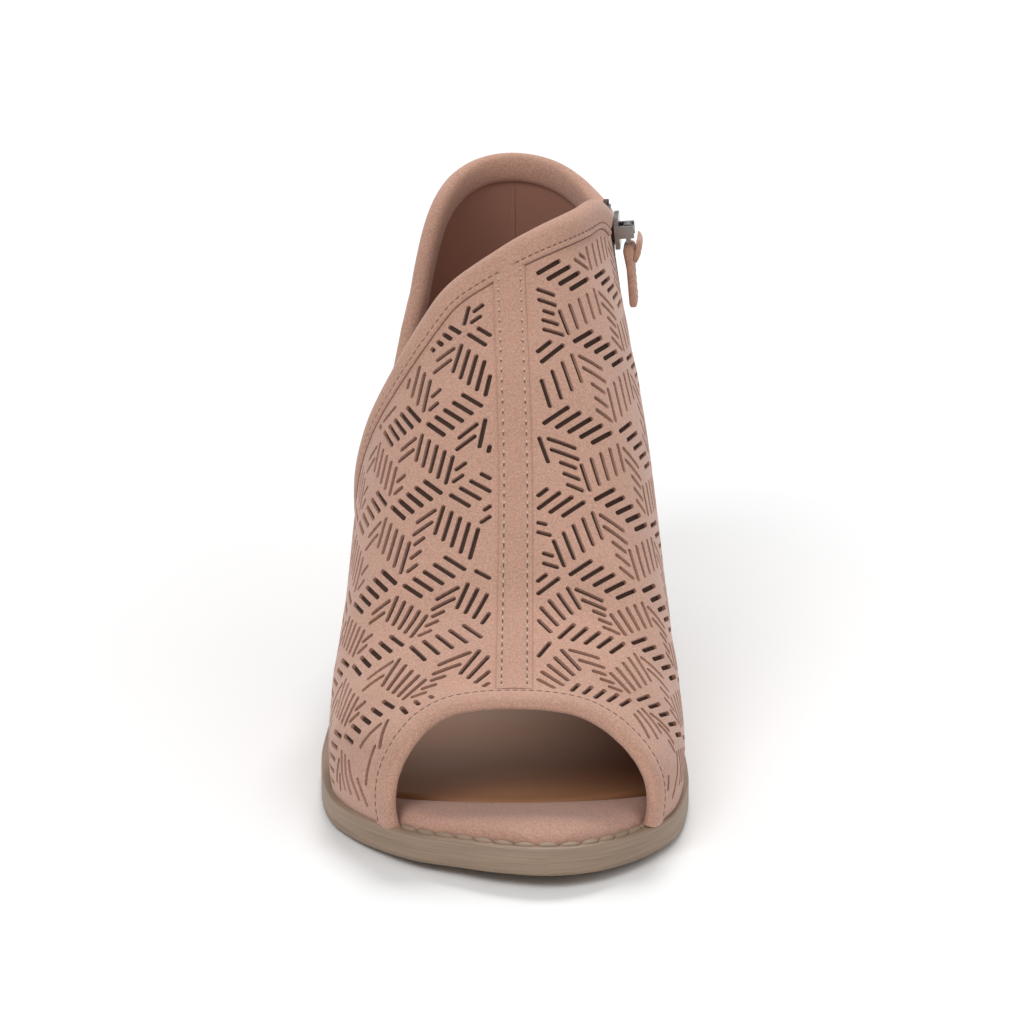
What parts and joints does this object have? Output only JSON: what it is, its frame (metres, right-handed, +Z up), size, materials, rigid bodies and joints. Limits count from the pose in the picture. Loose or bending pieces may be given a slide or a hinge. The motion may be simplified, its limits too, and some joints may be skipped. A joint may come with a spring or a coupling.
{
  "type": "peep toe ankle boot",
  "caption": "Open toe ankle boot with a perforated suede upper, deep side cut, zip and stacked block heel; right foot.",
  "frame": {"origin": "on the floor, under the middle of the whole boot", "axes": "+X to the inner side of the foot, +Y from toe to heel, +Z up; the toe points towards -Y"},
  "size_m": [0.0898, 0.224, 0.1262],
  "materials": {
    "suede": "napped faux suede, dusty rose tan",
    "stacked_board": "matte stacked grain, greige",
    "rubber": "matte",
    "tan_leather": "smooth, low sheen",
    "zip_tape": "woven, dark brown",
    "silver_metal": "polished silver"
  },
  "bodies": {
    "boot": {"outsole": "stacked_board", "heel_block": "stacked_board", "heel_top_lift": "rubber", "insole_front": "suede", "footbed": "tan_leather", "upper": "suede", "topline_binding_front": "suede", "topline_binding_back": "suede", "toe_binding": "suede", "vamp_strip": "suede", "zip_tape": "zip_tape", "zip_chain": "zip_tape", "zip_slider": "silver_metal"},
    "pull": {"zip_pull_link": "silver_metal", "zip_pull_tab": "suede"}
  },
  "joints": [
    {"name": "pull_swing", "type": "hinge", "parent": "boot", "child": "pull", "pos_m": [0.03135, 0.05877, 0.11377], "axis": [-0.077, -0.9929, -0.0905], "range_deg": [0, 150]}
  ]
}
